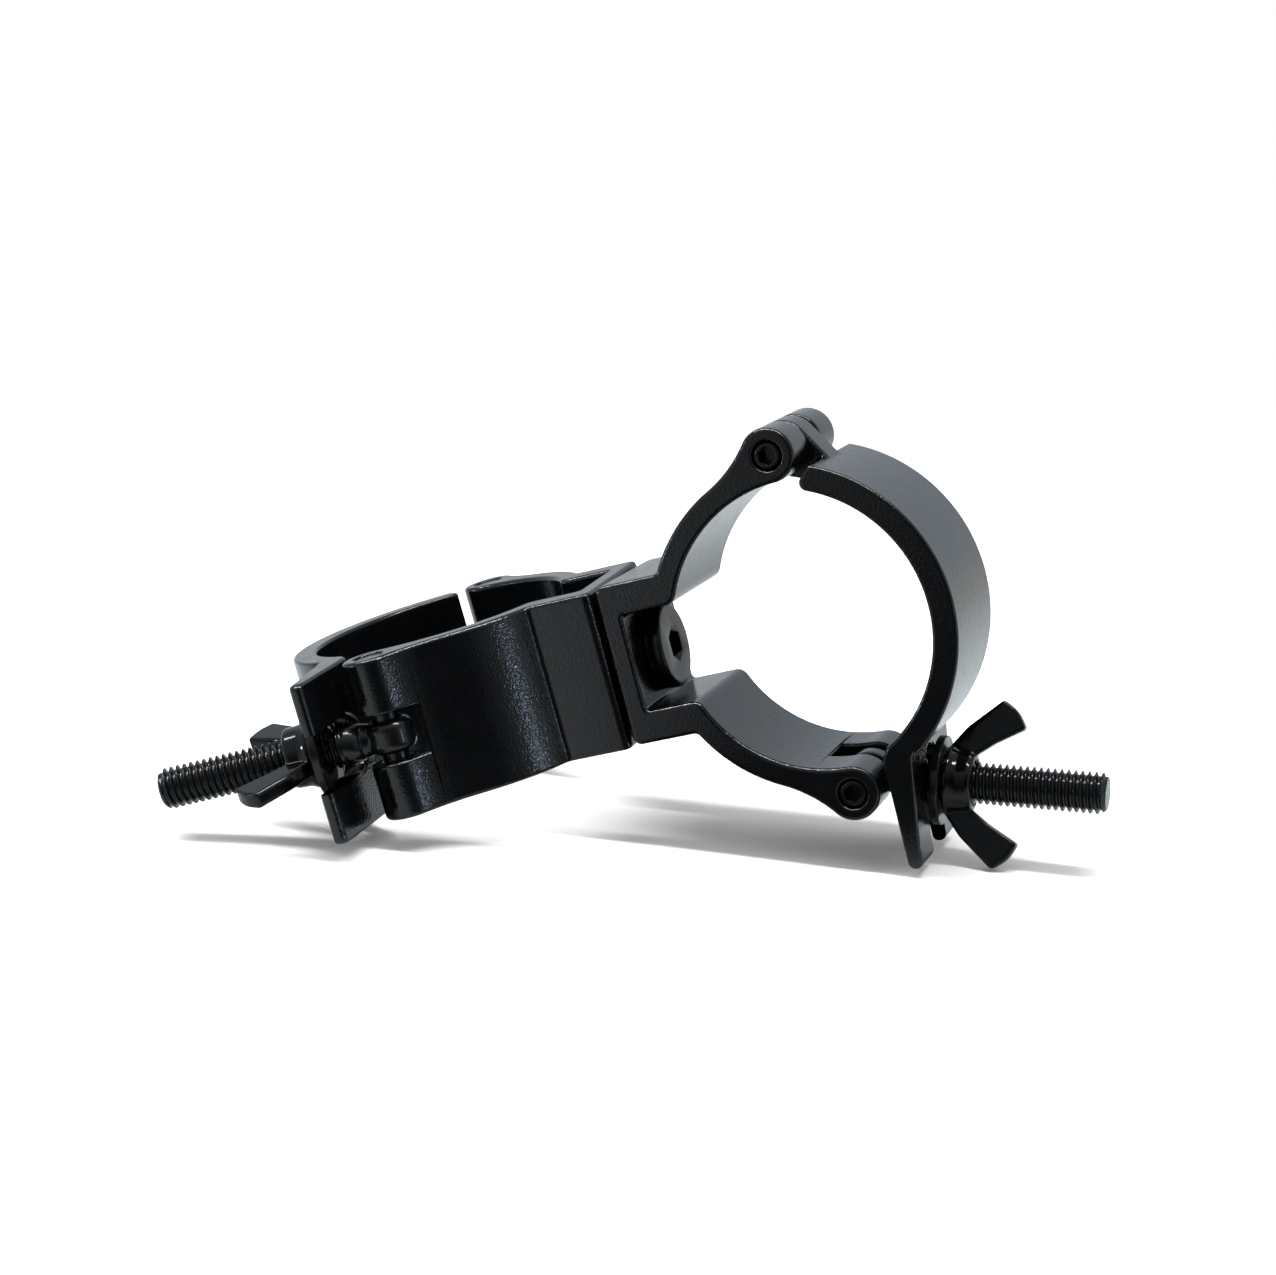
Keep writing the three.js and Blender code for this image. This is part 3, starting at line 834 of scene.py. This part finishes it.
def room_light(tree, where):
    """How bright the room is in a direction: dim on the unlit side, white elsewhere."""
    unit = tree.nodes.new("ShaderNodeVectorMath")
    unit.operation = "NORMALIZE"
    tree.links.new(where, unit.inputs[0])
    facing = tree.nodes.new("ShaderNodeVectorMath")
    facing.operation = "DOT_PRODUCT"
    facing.inputs[1].default_value = UNLIT
    tree.links.new(unit.outputs["Vector"], facing.inputs[0])
    level = spread(tree, facing.outputs["Value"], 1.0, UNLIT_LEVEL, 0.6, 0.93)
    mirrored = tree.nodes.new("ShaderNodeLightPath").outputs["Is Glossy Ray"]
    dimmed = tree.nodes.new("ShaderNodeMath")
    dimmed.operation = "MULTIPLY"
    tree.links.new(level, dimmed.inputs[0])
    tree.links.new(spread(tree, mirrored, 1.0, MIRRORED_LEVEL, 0, 1), dimmed.inputs[1])
    return dimmed.outputs["Value"]


def seen(tree):
    """1 for what the camera sees directly, and 0 for what only lights the object."""
    return tree.nodes.new("ShaderNodeLightPath").outputs["Is Camera Ray"]


def studio_floor():
    """A pale floor that fades into the white surround. To all but the camera its colour is painted
    shade: darker and bluer, and dimmest on the unlit side and in reflections.
    """
    bm = bmesh.new()
    bmesh.ops.create_circle(bm, cap_ends=True, segments=96, radius=STUDIO_R)
    floor = shown(bm, "studio_floor")
    material, tree, shader = nodes_of("pale_floor")
    shader.inputs["Roughness"].default_value = 0.9
    shader.inputs["Specular IOR Level"].default_value = 0.0
    coordinates = tree.nodes.new("ShaderNodeTexCoord").outputs["Object"]
    # For all but camera rays the floor's colour is painted shade: a darker, bluer colour, dimmed
    # further by room_light towards the unlit side and in reflections.
    level = tree.nodes.new("ShaderNodeMath")
    level.operation = "MAXIMUM"
    tree.links.new(room_light(tree, coordinates), level.inputs[0])
    tree.links.new(seen(tree), level.inputs[1])
    pale = tint(tree, seen(tree), FLOOR_PAINTED_SHADE, FLOOR_PALE)
    colour = tree.nodes.new("ShaderNodeVectorMath")
    colour.operation = "MULTIPLY"
    tree.links.new(pale, colour.inputs[0])
    tree.links.new(level.outputs["Value"], colour.inputs[1])
    tree.links.new(colour.outputs["Vector"], shader.inputs["Base Color"])
    white = tree.nodes.new("ShaderNodeEmission")
    tree.links.new(level.outputs["Value"], white.inputs["Strength"])
    length = tree.nodes.new("ShaderNodeVectorMath")
    length.operation = "LENGTH"
    tree.links.new(coordinates, length.inputs[0])
    fade = spread(tree, length.outputs["Value"], 0, 1, FADE_FROM, FADE_TO)
    mix = tree.nodes.new("ShaderNodeMixShader")
    tree.links.new(fade, mix.inputs["Fac"])
    tree.links.new(shader.outputs["BSDF"], mix.inputs[1])
    tree.links.new(white.outputs["Emission"], mix.inputs[2])
    output = tree.nodes["Material Output"]
    tree.links.new(mix.outputs["Shader"], output.inputs["Surface"])
    floor.data.materials.append(material)


def surround():
    """A white surround that lights the object from all but one side."""
    world = bpy.data.worlds.new("studio")
    bpy.context.scene.world = world
    world.use_nodes = True
    tree = world.node_tree
    tree.nodes.clear()
    coordinates = tree.nodes.new("ShaderNodeTexCoord").outputs["Generated"]
    light = tree.nodes.new("ShaderNodeBackground")
    mirrored = tree.nodes.new("ShaderNodeLightPath").outputs["Is Glossy Ray"]
    tree.links.new(tint(tree, mirrored, WHITE, MIRRORED_COLOUR), light.inputs["Color"])
    tree.links.new(room_light(tree, coordinates), light.inputs["Strength"])
    plain = tree.nodes.new("ShaderNodeBackground")
    plain.inputs["Color"].default_value = (1, 1, 1, 1)
    mix = tree.nodes.new("ShaderNodeMixShader")
    tree.links.new(seen(tree), mix.inputs["Fac"])
    tree.links.new(light.outputs["Background"], mix.inputs[1])
    tree.links.new(plain.outputs["Background"], mix.inputs[2])
    output = tree.nodes.new("ShaderNodeOutputWorld")
    tree.links.new(mix.outputs["Shader"], output.inputs["Surface"])


def softbox(name, toward, distance, size, power, colour):
    """A soft light that faces the object, its width level with the x axis."""
    lamp = bpy.data.lights.new(name, "AREA")
    lamp.shape = "RECTANGLE"
    lamp.size, lamp.size_y = size
    lamp.energy = power
    lamp.color = colour
    obj = bpy.data.objects.new(name, lamp)
    bpy.context.scene.collection.objects.link(obj)
    away = Vector(toward).normalized()
    height = away.cross(Vector((1, 0, 0))).normalized()
    facing = Matrix((height.cross(away), height, away)).transposed().to_4x4()
    obj.matrix_world = Matrix.Translation(VIEW_CENTRE + away * distance) @ facing
    obj.visible_camera = False


def camera():
    data = bpy.data.cameras.new("camera")
    data.lens = LENS
    data.sensor_width = SENSOR
    data.clip_start = 0.01
    obj = bpy.data.objects.new("camera", data)
    bpy.context.scene.collection.objects.link(obj)
    turned_by = (
        Matrix.Rotation(math.radians(VIEW_AZIMUTH), 4, "Z")
        @ Matrix.Rotation(math.radians(90 - VIEW_ELEVATION), 4, "X")
        @ Matrix.Rotation(math.radians(VIEW_ROLL), 4, "Z")
    )
    back = turned_by @ Vector((0, 0, 1))
    obj.matrix_world = Matrix.Translation(VIEW_CENTRE + back * VIEW_DISTANCE) @ turned_by
    bpy.context.scene.camera = obj


studio_floor()
surround()
for name, settings in LAMPS.items():
    softbox(name, *settings)
camera()
bpy.context.scene.view_settings.view_transform = "Standard"
